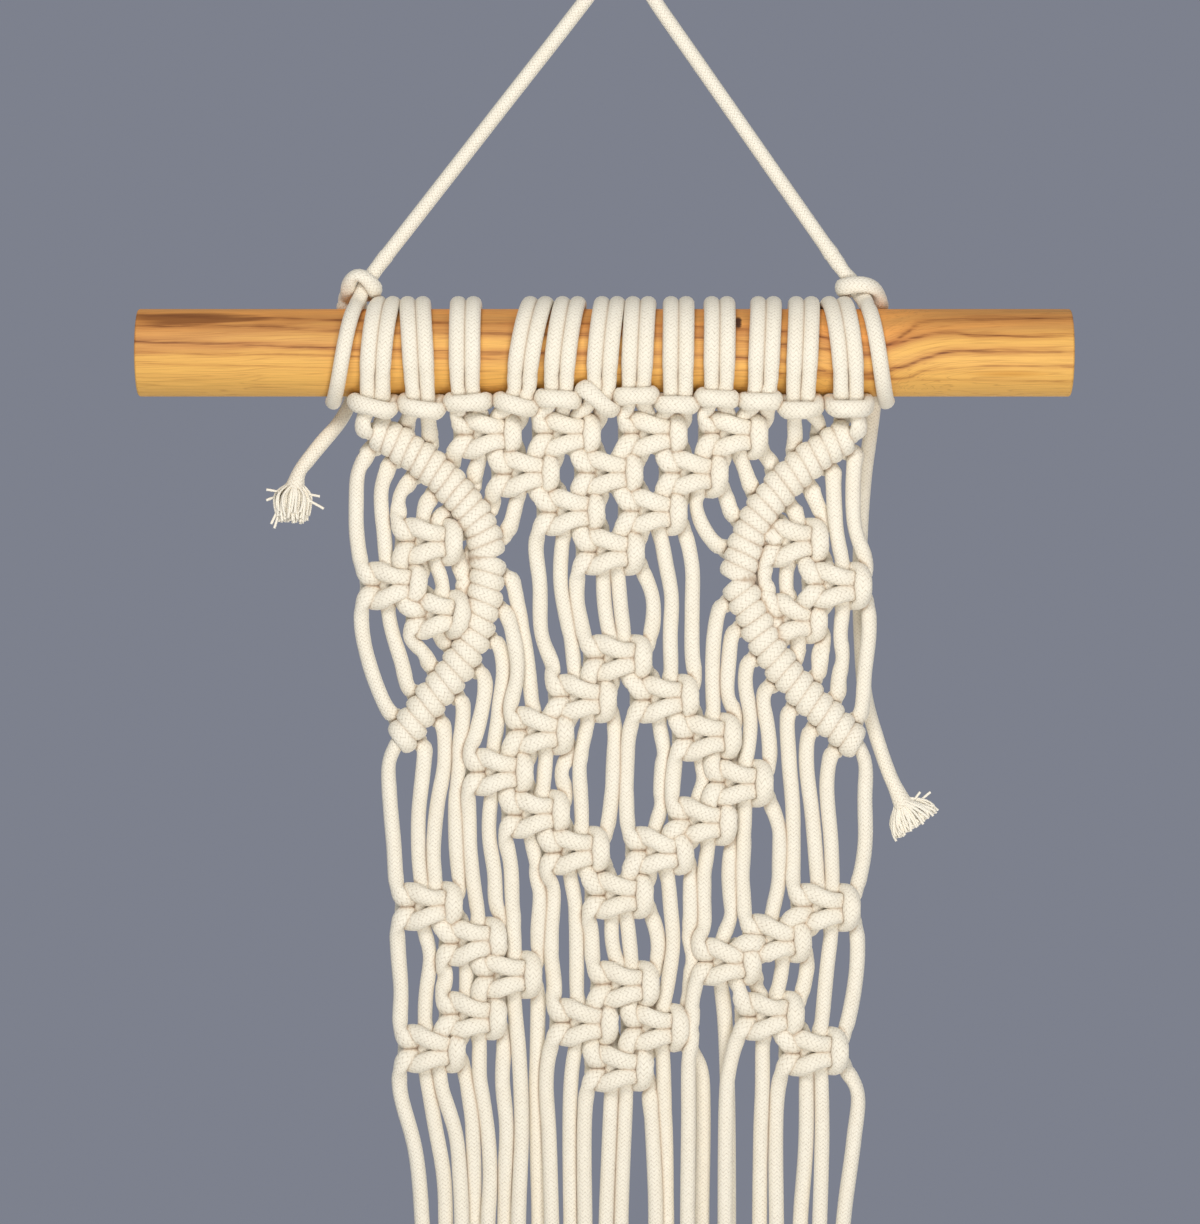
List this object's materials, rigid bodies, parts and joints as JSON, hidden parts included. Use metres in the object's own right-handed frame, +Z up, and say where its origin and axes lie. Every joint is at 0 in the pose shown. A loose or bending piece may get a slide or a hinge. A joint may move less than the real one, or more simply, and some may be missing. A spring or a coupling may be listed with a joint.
{
  "type": "macrame wall hanging on a wooden rod",
  "caption": "Flat knotted cotton net with a free fringe, looped over a round wooden rod that hangs from a cord.",
  "frame": {"origin": "the point under the bend of the hanging cord that bears on the nail or hook", "axes": "+X to the viewer's right along the rod, +Y away from the viewer towards the wall, +Z up"},
  "size_m": [0.32, 0.0436, 0.5923],
  "materials": {
    "cotton_cord": "undyed braided cotton, matt and slightly fuzzy",
    "wood": "honey-stained wood with a satin varnish"
  },
  "bodies": {
    "root": {"rod": "wood", "macrame_panel": "cotton_cord", "hang_cord": "cotton_cord", "hitch_left": "cotton_cord", "hitch_right": "cotton_cord", "tail_left": "cotton_cord", "tail_right": "cotton_cord", "fray_left": "cotton_cord", "fray_right": "cotton_cord"}
  },
  "joints": []
}
